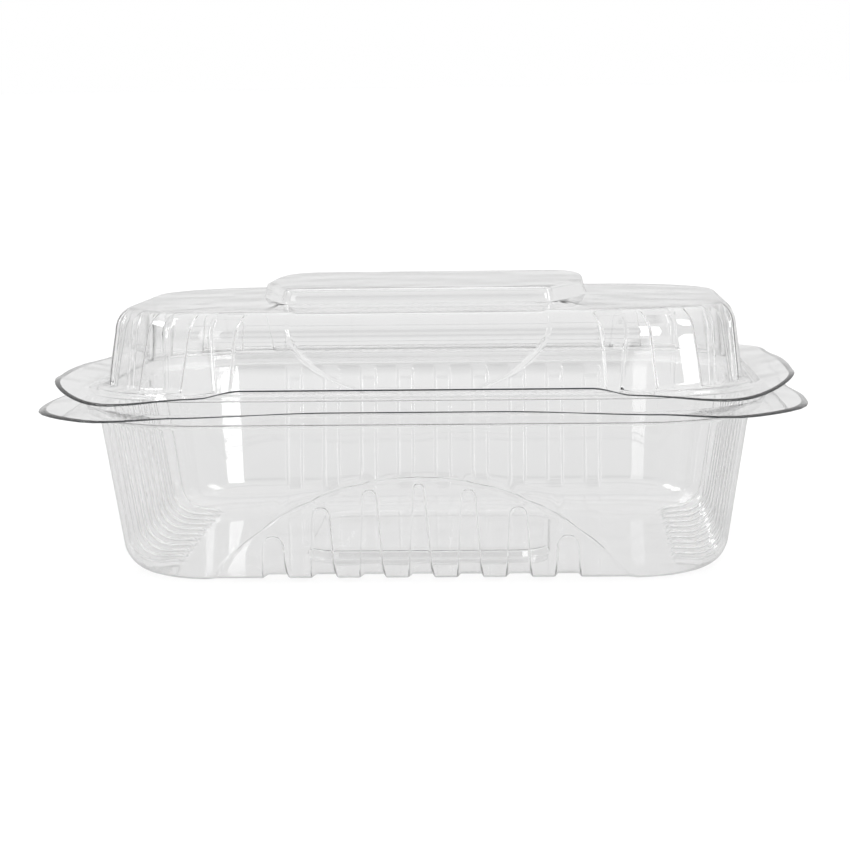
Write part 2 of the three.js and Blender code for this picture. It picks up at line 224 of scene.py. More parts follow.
TUB_SIZE = (81.15, 68.0, 30.0)
tub_loop = Loop(TUB_SIZE[0] - TUB_SIZE[2], TUB_SIZE[1] - TUB_SIZE[2], 20.0)
print("half way round the tub's core is", round(tub_loop.half, 1), "mm")

# %% [markdown]
# ## From rings to a sheet
# A sheet starts at its middle and grows outwards ring by ring. Rings with the same columns are joined by
# squares, and others by triangles that follow the bearing round the middle. The mesh is the middle surface
# of the plastic, and a Solidify modifier gives it the sheet's thickness and its own material on the rim. It
# is drawn as thin as stretching leaves it in the walls, so that its cut edge shows as a fine line.


# %% Sheets of rings
SHEET_MM = 0.22
HINGE_Y = 77.33
HINGE_Z = 43.35
FOLD_HALF = 50.0
FOLD_SIDE = 2.0
# A face's rim takes the slot after the face's own. Along the fold the sheet isn't cut, so its rim is clear.
FORMED, CUT, FORMED_AT_FOLD = 0, 1, 2
sheet_slots = [formed_sheet, cut_edge, formed_sheet, formed_sheet]


def bearing(points):
    """Angles round the middle, from the front and counterclockwise."""
    angle = np.arctan2(points[:, 0], -points[:, 1])
    return np.where(angle < -1e-9, angle + 2 * math.pi, np.abs(angle))


class Sheet:
    """A middle surface made of rings from the middle outwards."""

    def __init__(self, centre):
        self.points = [np.array([centre], dtype=float)]
        self.faces = []
        self.last = np.array([0])
        self.count = 1

    def grow(self, points):
        """Add a ring of points outside the last one."""
        index = np.arange(self.count, self.count + len(points))
        inner, outer = self.last, index
        if len(inner) == 1:
            self.faces += [(0, int(a), int(b)) for a, b in zip(outer, np.roll(outer, -1))]
        elif len(inner) == len(outer):
            quads = np.stack([inner, outer, np.roll(outer, -1), np.roll(inner, -1)], axis=1)
            self.faces += quads.tolist()
        else:
            self.zip_rings(inner, outer, points)
        self.points.append(points)
        self.last = index
        self.count += len(points)

    def zip_rings(self, inner, outer, points):
        """Join two rings that have different columns."""
        turns = np.append(bearing(self.points[-1])[1:], 2 * math.pi)
        outer_turns = np.append(bearing(points)[1:], 2 * math.pi)
        a = b = 0
        while a < len(inner) or b < len(outer):
            here, there = int(inner[a % len(inner)]), int(outer[b % len(outer)])
            if b < len(outer) and (a >= len(inner) or outer_turns[b] <= turns[a]):
                self.faces.append((here, there, int(outer[(b + 1) % len(outer)])))
                b += 1
            else:
                self.faces.append((here, there, int(inner[(a + 1) % len(inner)])))
                a += 1

    def piece(self, name):
        """The finished object, with the modifier that makes it as thick as the sheet."""
        mesh = bpy.data.meshes.new(name)
        mesh.from_pydata((np.concatenate(self.points) * MM).tolist(), [], self.faces)
        mesh.shade_smooth()
        piece = bpy.data.objects.new(name, mesh)
        bpy.context.scene.collection.objects.link(piece)
        for material in sheet_slots:
            mesh.materials.append(material)
        for face in mesh.polygons:
            if face.center.y > (HINGE_Y - FOLD_SIDE) * MM and abs(face.center.x) < FOLD_HALF * MM:
                face.material_index = FORMED_AT_FOLD
        shell = piece.modifiers.new("sheet thickness", "SOLIDIFY")
        shell.thickness = SHEET_MM * MM
        shell.offset = 0
        shell.use_quality_normals = True
        shell.material_offset_rim = CUT - FORMED
        print(name, self.count, "points,", len(self.faces), "faces")
        return piece


def rounded(corners, radius, steps=4):
    """A section's points with each inner corner rounded off."""
    corners = [np.array(c, dtype=float) for c in corners]
    path = [corners[0]]
    for before, corner, after in zip(corners, corners[1:], corners[2:]):
        towards, onwards = before - corner, after - corner
        near = [min(radius, np.linalg.norm(arm) * 0.45) / np.linalg.norm(arm) for arm in (towards, onwards)]
        start, end = corner + towards * near[0], corner + onwards * near[1]
        for share in np.linspace(0, 1, steps + 1):
            path.append(mix(mix(start, corner, share), mix(corner, end, share), share))
    return path + [corners[-1]]


print("a rounded step has", len(rounded([(0, 0), (1, 0), (1, 2), (3, 2)], 0.4)), "points")

# %% [markdown]
# ## The tub's relief
# Thin sheet is only stiff where it is shaped. The sides have ribs at 8 mm that run down the wall, round the
# foot and on across the floor. The front has seven tapered grooves under an arch, shallow all along and deep
# only at the floor, and the back wall nine plain ribs. They could be cut with Boolean modifiers, but each is
# only a small push of the wall inwards, so a function gives the push at every point and keeps it one sheet.

# %% The tub's measures
# In millimetres, but for the draft and the creases. The middle of the sheet lies MID above the paper.
MID = 0.2
WALL_TOP = 38.9
RIB_TOP = 35.5
DRAFT = math.radians(9)
FOOT_RADIUS = 8.0
RIB_FIRST = -38.0
RIB_PITCH = 8.0
RIB_COUNT = 11
RIB_DEPTH = 1.1
RIB_FLANK = (0.4, 2.4)
BACK_PITCH = 10.86
BACK_HALF = 2.6
BACK_FLANK = 0.8
BACK_DEPTH = 0.9
BACK_LOW = 3.0
ARCH_RISE = 26.7
ARCH_RADIUS = 64.0
ARCH_STEP = 1.25
ARCH_EDGE = 0.6
GROOVE_PITCH = 12.0
GROOVE_LAST = 36.0
GROOVE_RISE = 24.9
GROOVE_SAG = 0.0101
GROOVE_TOP = 1.15
GROOVE_SPREAD = 0.035
GROOVE_FOOT = 2.95
GROOVE_SHALLOW = 0.9
GROOVE_DEEP = 5.0
GROOVE_KICK = 6.5
GROOVE_CURVE = 2.2
GROOVE_FLANK = 0.3
GROOVE_FLANK_SHARE = 0.05
# Each corner's flat, in degrees from the side.
FRONT_CREASES = (40.0, 50.0)
BACK_CREASES = (64.0, 73.0)
foot_centre = (-(WALL_TOP - FOOT_RADIUS - MID + FOOT_RADIUS * math.sin(DRAFT)) * math.tan(DRAFT)
               - FOOT_RADIUS * math.cos(DRAFT))
foot_top = MID + FOOT_RADIUS * (1 - math.sin(DRAFT))
floor_corner = TUB_SIZE[2] + foot_centre
print("the foot's round starts", round(-foot_centre, 2), "mm inside the rim")
print("and ends", round(foot_top, 2), "mm up")


# %% Grooves, arch and ribs
def arch_height(x):
    inside = np.maximum(ARCH_RADIUS ** 2 - x * x, 0)
    return ARCH_RISE - ARCH_RADIUS + np.sqrt(inside)


def groove_top(x):
    return GROOVE_RISE - GROOVE_SAG * x * x


def groove_half(centre, z):
    """Half the width of a groove at a height: it tapers up to its round top."""
    top, narrow = groove_top(centre), GROOVE_TOP + GROOVE_SPREAD * centre
    return mix(narrow, GROOVE_FOOT, np.clip((top - z) / top, 0, 1))


def groove_centre(x):
    return np.minimum(GROOVE_PITCH * np.round(np.abs(x) / GROOVE_PITCH), GROOVE_LAST)


def front_push(x, z):
    """How far the front is pushed in at a point: the arch's step and the grooves."""
    across_step = np.sqrt(1 - np.clip(x / ARCH_RADIUS, -0.99, 0.99) ** 2)
    arch = ARCH_STEP * rise((arch_height(x) - z) * across_step, -ARCH_EDGE, ARCH_EDGE)
    centre = groove_centre(x)
    top, narrow = groove_top(centre), groove_half(centre, groove_top(centre))
    away = np.abs(np.abs(x) - centre)
    straight = groove_half(centre, z) - away
    cap = narrow - np.hypot(away, z - top + narrow)
    inside = np.where(z > top - narrow, cap, straight)
    depth = mix(GROOVE_SHALLOW, GROOVE_DEEP, np.clip(1 - z / GROOVE_KICK, 0, 1) ** GROOVE_CURVE)
    flank = GROOVE_FLANK + GROOVE_FLANK_SHARE * depth
    return arch + depth * rise(inside, -flank, flank)


def rib_push(s, z):
    """How far the sides and the back are pushed in by their ribs, which fade out at the top."""
    fx, fy, nx, ny = tub_loop.at(s)
    fade = 1 - rise(z, RIB_TOP, WALL_TOP)
    back_x = np.abs(fx) * tub_loop.core_x
    off_rib = np.abs(back_x - BACK_PITCH * np.round(back_x / BACK_PITCH))
    back = BACK_DEPTH * (1 - rise(off_rib, BACK_HALF - BACK_FLANK, BACK_HALF))
    back = back * rise(z, BACK_LOW, BACK_LOW + 2)
    along = (tub_loop.core_y * fy + floor_corner * ny - RIB_FIRST) / RIB_PITCH
    nearest = np.clip(np.round(along), 0, RIB_COUNT - 1)
    side = RIB_DEPTH * (1 - rise(np.abs(along - nearest) * RIB_PITCH, *RIB_FLANK))
    return np.where(ny > 0.999, back, np.where(np.abs(nx) > 0.1, side, 0.0)) * fade


print("groove tops", [round(float(groove_top(x)), 1) for x in (0, 12, 24, 36)])

# %% [markdown]
# Columns stand close together only where the surface turns quickly. On the front they lean with the
# grooves, so that the same few columns follow each flank from its foot to its top. The rows there bend
# over the groove tops and along the arch in the same way.


# %% The tub's columns and rows
# Columns ON_FLANK from a groove's middle lie on its flank. Plain columns start beside the last groove at
# SIDE_START, and from FADE_START on the rows turn from those of the grooves into even ones.
ON_FLANK = 3.0
SIDE_START = 42.4
PLAIN_STEP = 0.4
FADE_START = 45.0
GROOVES_BESIDE = 3
BACK_RIBS_BESIDE = 4
CORNER_DEGREES = [0, 7, 14, 21, 28, 35, 39.5, 40.5, 45, 49.5, 50.5, 56, 60, 63.5, 64.5, 68.5, 72.5, 73.5,
                  78, 84, 90]
GROOVE_COLUMNS = [0, 0.5, 1, 1.4, 1.75, 2.1, 2.4, 2.6, 2.75, 2.9, 3, 3.1, 3.25, 3.4, 3.55, 3.9, 4.8, 6]
SIDE_RIB_COLUMNS = [0, 0.3, 0.7, 1.1, 1.5, 1.9, 2.3, 2.8, 4]
BACK_RIB_COLUMNS = [0, 1.2, 1.75, 1.95, 2.2, 2.45, 2.65, 2.85, 3.4, 4.4, 5.43]
LEVEL_REACH = 3.6
GROOVE_ROWS = (0.14, 0.28, 0.42, 0.56, 0.7, 0.85, 1)
CAP_DEGREES = (13, 26, 38, 49, 60, 70, 80, 90)
OVER_CAP = 0.35
ARCH_ROWS = (-0.5, -0.25, 0, 0.25, 0.5)
OVER_ARCH_ROWS = (0.3, 0.65, 1)
LEAST_ROW = 0.08


def lean_with_grooves(s, z):
    """Move the front's columns so that those at 3 mm from a groove's middle lie on its flank."""
    x = np.abs(s)
    centre = groove_centre(x)
    off = x - centre
    half = groove_half(centre, z)
    span = GROOVE_PITCH / 2
    moved = np.where(np.abs(off) < ON_FLANK, np.abs(off) * half / ON_FLANK,
                     half + (np.abs(off) - ON_FLANK) * (span - half) / (span - ON_FLANK))
    leaning = np.sign(s) * (centre + np.sign(off) * moved)
    return np.where(x <= GROOVE_LAST + span, leaning, s)


def tub_columns():
    """All columns of the tub: grooves, corners, side ribs and back ribs each bring their own."""
    right = [k * GROOVE_PITCH + sign * q for k in range(GROOVES_BESIDE + 1) for q in GROOVE_COLUMNS
             for sign in (-1, 1)]
    right += list(np.arange(SIDE_START, tub_loop.core_x, PLAIN_STEP))
    first, second = tub_loop.core_x, tub_loop.core_x + tub_loop.turn + 2 * tub_loop.core_y
    right += [first + tub_loop.turn * (90 - d) / 90 for d in CORNER_DEGREES]
    right += [second + tub_loop.turn * d / 90 for d in CORNER_DEGREES if d > 30]
    for k in range(RIB_COUNT):
        for y in {RIB_FIRST + k * RIB_PITCH + sign * d for d in SIDE_RIB_COLUMNS for sign in (-1, 1)}:
            if abs(y) <= tub_loop.core_y:
                right.append(first + tub_loop.turn + tub_loop.core_y + y)
            elif y > 0:
                angle = math.asin((y - tub_loop.core_y) / floor_corner)
                right.append(second + tub_loop.turn * angle / (math.pi / 2))
    for k in range(BACK_RIBS_BESIDE + 1):
        right += [tub_loop.half - abs(k * BACK_PITCH + sign * d) for d in BACK_RIB_COLUMNS for sign in (-1, 1)
                  if abs(k * BACK_PITCH + sign * d) < tub_loop.core_x]
    return tub_loop.whole(right)


def front_rows(s):
    """Heights of the wall's rows at each column, from just over the foot to the top of the ribs."""
    x = np.abs(s)
    before = GROOVE_PITCH * np.floor(x / GROOVE_PITCH)
    level = before + GROOVE_PITCH * rise(x - before, LEVEL_REACH, GROOVE_PITCH - LEVEL_REACH)
    top, cap = groove_top(level), GROOVE_TOP + GROOVE_SPREAD * level
    arch = arch_height(x)
    shaped = [mix(foot_top, top - cap, u) for u in GROOVE_ROWS]
    shaped += [top - cap + cap * math.sin(math.radians(a)) for a in CAP_DEGREES]
    shaped += [top + OVER_CAP, mix(top + OVER_CAP, arch + ARCH_ROWS[0], 0.5)]
    shaped += [arch + d for d in ARCH_ROWS]
    shaped += [mix(arch + ARCH_ROWS[-1], RIB_TOP, u) for u in OVER_ARCH_ROWS]
    edge = np.where(x <= tub_loop.core_x, rise(x, FADE_START, tub_loop.core_x), 1.0)
    rows, below = [], np.full_like(x, foot_top)
    for k, height in enumerate(shaped):
        plain = mix(foot_top, RIB_TOP, (k + 1) / len(shaped))
        below = np.maximum(mix(height, plain, edge), below + LEAST_ROW)
        rows.append(below)
    return rows


columns = tub_columns()
print(len(columns), "columns and", len(front_rows(columns)), "rows on the tub's wall")


# %% [markdown]
# The tub itself: a raised panel in the middle of the floor, the floor with the ends of the ribs, a round
# foot, the wall, a small ledge that the lid's bead snaps over, and a flange that widens at the corners.
# Near each corner the wall has one narrow flat between two creases, which mirrors a lamp as a bright strip.


# %% Build the tub
TUB_FRONT_REACH = [(58, 8), (88, 15.9), (112, 16.4), (141, 13.85)]
TUB_FRONT_HEIGHT = [(20, 44.05), (60, 42.9), (92, 42)]
TUB_SIDE_REACH = [(-38, 13.85), (-10, 11.2)]
TUB_SIDE_HEIGHT = [(0, 42)]
TUB_BACK_HEIGHT = [(20, 43), (80, 42)]
TUB_CORNER_REACH = 11.2
TUB_LEAF_END = 90
HINGE_GAP = 0.2
LEAF_GAP = 0.7
PANEL_RISE = 2
PANEL_SIZE = (31.3, 31.3, 9)
PANEL_SECTION = rounded([(-6, PANEL_RISE), (-0.5, PANEL_RISE), (0, 0), (3, 0)], 0.4)
FLOOR_SIZE = (44, 37, 14)
FLOOR_COLUMNS = 90
RIB_END_SIZE = (TUB_SIZE[0] + foot_centre - 6, 46.5, 11.0)
RIB_END_SHARE = 0.24
FOOT_LEANS = [90, 78, 66, 56, 48, 41, 35, 29, 24, 19, 14]
TOP_ROWS = (36.6, 37.8, WALL_TOP)
RIM_COLUMNS_FROM = 30.0
LEDGE_CORNERS = [(0, WALL_TOP), (0.2, 39.5), (3, 40.5), (3.2, 42.6), (4, 43.1), (5, 43.2)]
LEDGE_SECTION = rounded(LEDGE_CORNERS, 0.4, 3)[2:-1]
FLANGE_RINGS = 6


def follow(pairs, x):
    """The value at x on a smooth line through pairs of place and value."""
    value = np.full_like(x, pairs[0][1], dtype=float)
    for (before, low), (after, high) in zip(pairs, pairs[1:]):
        value += (high - low) * rise(x, before, after)
    return value


def flange_edge(s, front, side, corner_reach, back_height, leaf_end):
    """The cut edge's reach outside the wall and its height, by the place round the rim."""
    fx, fy, nx, ny = tub_loop.at(s)
    turn = np.degrees(np.arctan2(np.abs(nx), np.abs(ny)))
    along, y = np.abs(fx) * tub_loop.core_x + turn, fy * tub_loop.core_y
    leaf = HINGE_Y - HINGE_GAP - TUB_SIZE[1]
    on_side, on_front = np.abs(nx) > 0.9999, ny < 0
    reach = np.where(on_side, follow(side[0], y),
                     np.where(on_front, follow(front[0], along),
                              follow([(0, leaf), (leaf_end, corner_reach)], turn)))
    height = np.where(on_side, follow(side[1], y),
                      np.where(on_front, follow(front[1], along), follow(back_height, turn)))
    return reach, height


def creased(s):
    """How far the flat between two creases lies inside the corner's arc, as a share of its radius."""
    _, _, nx, ny = tub_loop.at(s)
    turn = np.degrees(np.arctan2(np.abs(ny), np.abs(nx)))
    low, high = (np.where(ny < 0, front, back) for front, back in zip(FRONT_CREASES, BACK_CREASES))
    middle, half = (low + high) / 2, (high - low) / 2
    flat = np.cos(np.radians(half)) / np.cos(np.radians(turn - middle))
    return np.where(np.abs(turn - middle) < half, flat, 1.0)


def wall_ring(s, grow, z, lean):
    """One ring of the wall or the foot, with all its relief. lean is how far the sheet faces down."""
    on_front = np.abs(s) <= tub_loop.core_x
    s = np.where(on_front, lean_with_grooves(s, z), s)
    points = ring(tub_loop, s, TUB_SIZE, grow, z)
    _, _, nx, ny = tub_loop.at(s)
    ribs = rib_push(s, z)
    push = ribs * math.cos(lean) + np.where(on_front, front_push(points[:, 0], z), 0)
    push += (1 - creased(s)) * (TUB_SIZE[2] + grow)
    points[:, 0] -= nx * push
    points[:, 1] -= ny * push
    points[:, 2] += ribs * math.sin(lean)
    return points


def make_tub():
    sheet = Sheet((0, 0, PANEL_RISE + MID))
    plain = tub_loop.whole(np.linspace(0, tub_loop.half, FLOOR_COLUMNS))
    for grow, z in PANEL_SECTION:
        sheet.grow(ring(tub_loop, plain, PANEL_SIZE, grow, z + MID))
    for grow in (0, 4):
        sheet.grow(ring(tub_loop, plain, FLOOR_SIZE, grow, MID))
    foot = wall_ring(columns, foot_centre, MID, math.pi / 2)
    ends = ring(tub_loop, lean_with_grooves(columns, 0.0), RIB_END_SIZE, 0, MID)
    for share in (-0.1, 0, 0.06, 0.12, 0.18, RIB_END_SHARE, 0.6):
        points = mix(ends, foot, share)
        points[:, 2] = MID + (foot[:, 2] - MID) * float(rise(share, 0, RIB_END_SHARE))
        sheet.grow(points)
    for lean in np.radians(FOOT_LEANS).tolist() + [DRAFT]:
        z = MID + FOOT_RADIUS * (1 - math.sin(lean))
        sheet.grow(wall_ring(columns, foot_centre + FOOT_RADIUS * math.cos(lean), z, lean))
    for z in front_rows(columns) + [np.full_like(columns, h) for h in TOP_ROWS]:
        sheet.grow(wall_ring(columns, (z - WALL_TOP) * math.tan(DRAFT), z, 0.0))
    rim = lean_with_grooves(columns, RIM_COLUMNS_FROM)
    for grow, z in LEDGE_SECTION:
        sheet.grow(ring(tub_loop, rim, TUB_SIZE, grow, z))
    reach, height = flange_edge(rim, (TUB_FRONT_REACH, TUB_FRONT_HEIGHT), (TUB_SIDE_REACH, TUB_SIDE_HEIGHT),
                                TUB_CORNER_REACH, TUB_BACK_HEIGHT, TUB_LEAF_END)
    last_grow, last_z = LEDGE_SECTION[-1]
    for share in np.linspace(0, 1, FLANGE_RINGS + 1)[1:]:
        flange = mix(last_grow, reach, share)
        sheet.grow(ring(tub_loop, rim, TUB_SIZE, flange, mix(last_z, height, share)))
    return sheet.piece("tub_shell")


tub = make_tub()
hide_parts("tub")
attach(tub, "tub")

# %% [markdown]
# ## The lid
# The lid is a shallow dome with rounded shoulders. Tapered flutes stand round its corners, the front has a
# field with a smile-shaped edge for a label, and the raised block on top keys into the tub of the next
# box. Below the dome a bead hangs down into the tub's ledge. It is drawn level and then tipped about the
# hinge, because the springy sheet holds the lid a little ajar.

# %% The lid's measures
# A size is half the width, half the depth and the radius of the corners.
LID_SIZE = (80.0, 64.0, 33.0)
SHOULDER_SIZE = (78.73, 57.95, 31.4)
PLATEAU_SIZE = (74.6, 53.2, 30.5)
DOME_FOOT = 43.75
DOME_TOP = 62.5
SHOULDER = 6.0
CROWN = 0.8
LID_BOW = 0.09
FLUTE_TOP = 3.15
FLUTE_FOOT = 1.6
FLUTE_DEPTH = 1.0
FLUTE_FLANK = 0.35
SMILE_HALF = 32.2
SMILE_DROP = 19.5
SMILE_TOP = 61.6
SMILE_STEP = 0.45
SMILE_FLANK = 0.6
BLOCK_RISE = 4.6
BLOCK_INSET = 0.9
BLOCK_X = -1.1
BLOCK_FRONT = 37.4
BLOCK_SIDE = 42.2
BLOCK_BACK = 45.5
BLOCK_CORNER = (34.3, 36.5)
AJAR = math.radians(1.475)
lid_loop = Loop(LID_SIZE[0] - LID_SIZE[2], LID_SIZE[1] - LID_SIZE[2], 27.3)
flute_pitch = lid_loop.turn / 4
print("flutes every", round(flute_pitch, 2), "mm")


# %% The lid's relief
# On the front, columns ON_SMILE from the middle lie on the smile's edge. Its relief ends at FIELD_END.
ON_SMILE = 25
FIELD_END = 41
SMILE_COLUMNS = [0, 4, 8, 12, 16, 20, 22, 23.5, 24.2, 24.6, 24.8, ON_SMILE, 25.2, 25.4, 25.8, 26.5, 28,
                 30, 33, 37, FIELD_END]
FLUTE_COLUMNS = [0, 1, 2, 2.4, 2.65, 2.85, ON_FLANK, 3.2, 3.45, 3.8, 4.5, flute_pitch / 2]
PLAIN_PITCH = 3


def flute_middles():
    """Places of the right half's flutes, five round each corner."""
    second = lid_loop.core_x + lid_loop.turn + 2 * lid_loop.core_y
    return [start + k * flute_pitch for start in (lid_loop.core_x, second) for k in range(5)]


def flute_half(z):
    return mix(FLUTE_FOOT, FLUTE_TOP, np.clip((z - DOME_FOOT) / (DOME_TOP - DOME_FOOT), 0, 1))


def smile_edge(z):
    """Half the width of the smile-shaped field at a height."""
    down = np.clip((SMILE_TOP - z) / SMILE_DROP, 0, 0.93)
    return SMILE_HALF * np.sqrt(1 - down ** 2)


def lean_with_flutes(s, z):
    """Move columns so that those meant for a flute's flank or for the smile's edge lie on it."""
    walked = np.abs(s)
    middles = np.array(flute_middles())
    off = walked[:, None] - middles[None, :]
    nearest = np.argmin(np.abs(off), axis=1)
    off = off[np.arange(len(s)), nearest]
    half, span = flute_half(z), flute_pitch / 2
    moved = np.where(np.abs(off) < ON_FLANK, np.abs(off) * half / ON_FLANK,
                     half + (np.abs(off) - ON_FLANK) * (span - half) / (span - ON_FLANK))
    fluted = np.where(np.abs(off) < span, middles[nearest] + np.sign(off) * moved, walked)
    edge = smile_edge(z)
    beside = (walked - ON_SMILE) * (FIELD_END - edge) / (FIELD_END - ON_SMILE)
    smiling = np.where(walked < ON_SMILE, walked * edge / ON_SMILE, edge + beside)
    return np.where(s < 0, -1, 1) * np.where(walked < FIELD_END, smiling, fluted)


def lid_push(s, z):
    """How far the dome is pushed in: the flutes, and the field on the front, which runs on to the block."""
    walked = np.abs(s)
    away = np.min(np.abs(walked[:, None] - np.array(flute_middles())[None, :]), axis=1)
    fade = 1 - rise(z, DOME_TOP - 1.6, DOME_TOP - 0.6)
    flutes = FLUTE_DEPTH * fade * rise(flute_half(z) - away, -FLUTE_FLANK, FLUTE_FLANK)
    field = SMILE_STEP * rise(smile_edge(z) - walked, -SMILE_FLANK, SMILE_FLANK)
    return flutes + np.where(walked < FIELD_END, field, 0)


def lid_columns():
    right = SMILE_COLUMNS + [m + sign * q for m in flute_middles() for q in FLUTE_COLUMNS for sign in (-1, 1)]
    side = lid_loop.core_x + lid_loop.turn
    right += list(np.arange(side + 6.5, side + 2 * lid_loop.core_y - 6, PLAIN_PITCH))
    right += list(np.arange(lid_loop.half - FIELD_END, lid_loop.half, PLAIN_PITCH))
    return lid_loop.whole(right)


dome_columns = lid_columns()
print(len(dome_columns), "columns round the dome")


# %% The stacking block's outline
def bend_to(start, pull, end, steps=14):
    """Points on a curve from start to end that pull bends, without the last one."""
    shares = np.linspace(0, 1, steps, endpoint=False)[:, None]
    start, pull, end = (np.array([p], dtype=float) for p in (start, pull, end))
    return mix(mix(start, pull, shares), mix(pull, end, shares), shares)


def block_outline():
    """Straight front, slanting front corners, full sides and a round back, counterclockwise."""
    right = np.concatenate([
        bend_to((0, -BLOCK_FRONT), (15, -BLOCK_FRONT), (31.4, -BLOCK_FRONT), 10),
        bend_to((31.4, -BLOCK_FRONT), (33.8, -BLOCK_FRONT), (34.3, -34.5), 6),
        bend_to((34.3, -34.5), (38.2, -20), (41.4, -8), 8),
        bend_to((41.4, -8), (BLOCK_SIDE, -5), (BLOCK_SIDE, -2), 4),
        bend_to((BLOCK_SIDE, -2), (BLOCK_SIDE, 8), (BLOCK_SIDE, 20), 6),
        bend_to((BLOCK_SIDE, 20), (BLOCK_SIDE, BLOCK_BACK), (33, BLOCK_BACK)),
        bend_to((33, BLOCK_BACK), (15, BLOCK_BACK), (0, BLOCK_BACK), 12),
    ])
    left = np.array([[-x, y] for x, y in right[1:][::-1]])
    return np.concatenate([right, [[0, BLOCK_BACK]], left])


def inset(outline, by):
    """The outline drawn in by about so much on every side."""
    depth = np.where(outline[:, 1] < 0, BLOCK_FRONT, BLOCK_BACK)
    across = np.full(len(outline), 1 - by / BLOCK_SIDE)
    return outline * np.stack([across, 1 - by / depth], axis=1) + [BLOCK_X, 0]


outline = block_outline()
print(len(outline), "points round the block")


# %% Build the lid
LID_FRONT_REACH = [(42, 6.5), (52, 8.5), (100, 10.4), (141, 11.2)]
LID_FRONT_HEIGHT = [(42, 45.3), (52, 43.6), (90, 41.5), (141, 45.6)]
LID_SIDE_REACH = [(0, 11.2), (38, 10)]
LID_SIDE_HEIGHT = [(-38, 45.6), (-20, 46), (38, 44.6)]
LID_BACK_HEIGHT = [(0, HINGE_Z + LEAF_GAP / 2), (90, 44.6)]
LID_CORNER_REACH = 10
LID_LEAF_END = 45
SHOULDER_TURNS = [0, 12, 24, 36, 48, 60, 72, 82, 90]
DOME_RINGS = 12
BEAD_CORNERS = [(-0.6, 43.7), (0.4, 43.6), (0.9, 42.3), (2.1, 42.2), (2.6, 43.9), (4, 44)]
BEAD_SECTION = rounded(BEAD_CORNERS, 0.45, 3)[1:-1]
BEAD_COLUMNS = 150


def tipped(points):
    """Points of the level lid, turned up about the hinge by the angle that it rests at."""
    y, z = points[:, 1] - HINGE_Y, points[:, 2] - HINGE_Z
    turned = points.copy()
    turned[:, 1] = HINGE_Y + y * math.cos(AJAR) + z * math.sin(AJAR)
    turned[:, 2] = HINGE_Z - y * math.sin(AJAR) + z * math.cos(AJAR)
    return turned


def dome_ring(size, z, turn=math.pi / 2):
    """One ring of the dome with its relief. turn is how far the sheet has turned down from level."""
    s = lean_with_flutes(dome_columns, z)
    points = ring(lid_loop, s, size, 0, z)
    _, _, nx, ny = lid_loop.at(s)
    push = lid_push(s, z)
    points[:, 0] -= nx * push * math.sin(turn)
    points[:, 1] -= ny * push * math.sin(turn)
    points[:, 2] -= push * math.cos(turn)
    return points


def plateau_ring(share):
    """A level ring between the block's foot, at 0, and the shoulder, at 1, on the dome's columns."""
    edge = dome_ring(PLATEAU_SIZE, DOME_TOP, 0)
    turns = bearing(edge)
    half_turn = np.minimum(turns, 2 * math.pi - turns)
    field_turn, corner_turn = math.atan2(SMILE_HALF, PLATEAU_SIZE[1]), math.atan2(*BLOCK_CORNER)
    foot_turn = np.interp(half_turn, [0, field_turn, math.pi], [0, corner_turn, math.pi])
    right = outline[:len(outline) // 2 + 1]
    right_turns = bearing(right)
    foot = np.stack([np.interp(foot_turn, right_turns, right[:, k]) for k in (0, 1)], axis=1)
    foot[:, 0] *= np.where(turns > math.pi, -1, 1)
    foot[:, 0] += BLOCK_X
    points = edge.copy()
    points[:, :2] = mix(foot, edge[:, :2], share)
    points[:, 2] = DOME_TOP + (edge[:, 2] - DOME_TOP) * share ** 0.5 + CROWN * (1 - share) ** 1.5
    return points


def block_section():
    """Pairs of inset and share of the block's height, from its rounded top edge down to its foot."""
    half_way = BLOCK_INSET / 2
    edge = rounded([(6, 1), (BLOCK_INSET, 1), (half_way, 0.5)], 2.0, 5)[:-1]
    return edge + rounded([(half_way, 0.5), (0, 0), (-1, 0)], 0.7)


def make_lid():
    top = DOME_TOP + BLOCK_RISE
    sheet = Sheet(tipped(np.array([[0, 0, top]]))[0])
    foot = np.full(len(outline), DOME_TOP + CROWN)
    for by, share in block_section():
        flat = inset(outline, by)
        sheet.grow(tipped(np.column_stack([flat, mix(foot, top, share)])))
    for share in (0.12, 0.4, 0.7):
        sheet.grow(tipped(plateau_ring(share)))
    for turn in np.radians(SHOULDER_TURNS):
        size = tuple(mix(a, b, math.sin(turn)) for a, b in zip(PLATEAU_SIZE, SHOULDER_SIZE))
        sheet.grow(tipped(dome_ring(size, DOME_TOP - SHOULDER * (1 - math.cos(turn)), turn)))
    for share in np.linspace(0, 1, DOME_RINGS + 1)[1:]:
        bowed = share + LID_BOW * share * (1 - share)
        size = tuple(mix(a, b, bowed) for a, b in zip(SHOULDER_SIZE, LID_SIZE))
        sheet.grow(tipped(dome_ring(size, mix(DOME_TOP - SHOULDER, DOME_FOOT, share))))
    rim = tub_loop.whole(np.linspace(0, tub_loop.half, BEAD_COLUMNS))
    for grow, z in BEAD_SECTION:
        sheet.grow(tipped(ring(tub_loop, rim, TUB_SIZE, grow, z)))
    reach, height = flange_edge(rim, (LID_FRONT_REACH, LID_FRONT_HEIGHT), (LID_SIDE_REACH, LID_SIDE_HEIGHT),
                                LID_CORNER_REACH, LID_BACK_HEIGHT, LID_LEAF_END)
    last_grow, last_z = BEAD_SECTION[-1]
    for share in np.linspace(0, 1, FLANGE_RINGS + 1)[1:]:
        flange = mix(last_grow, reach, share)
        sheet.grow(tipped(ring(tub_loop, rim, TUB_SIZE, flange, mix(last_z, height, share))))
    return sheet.piece("lid_shell")


lid = make_lid()
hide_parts("lid")
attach(lid, "lid")
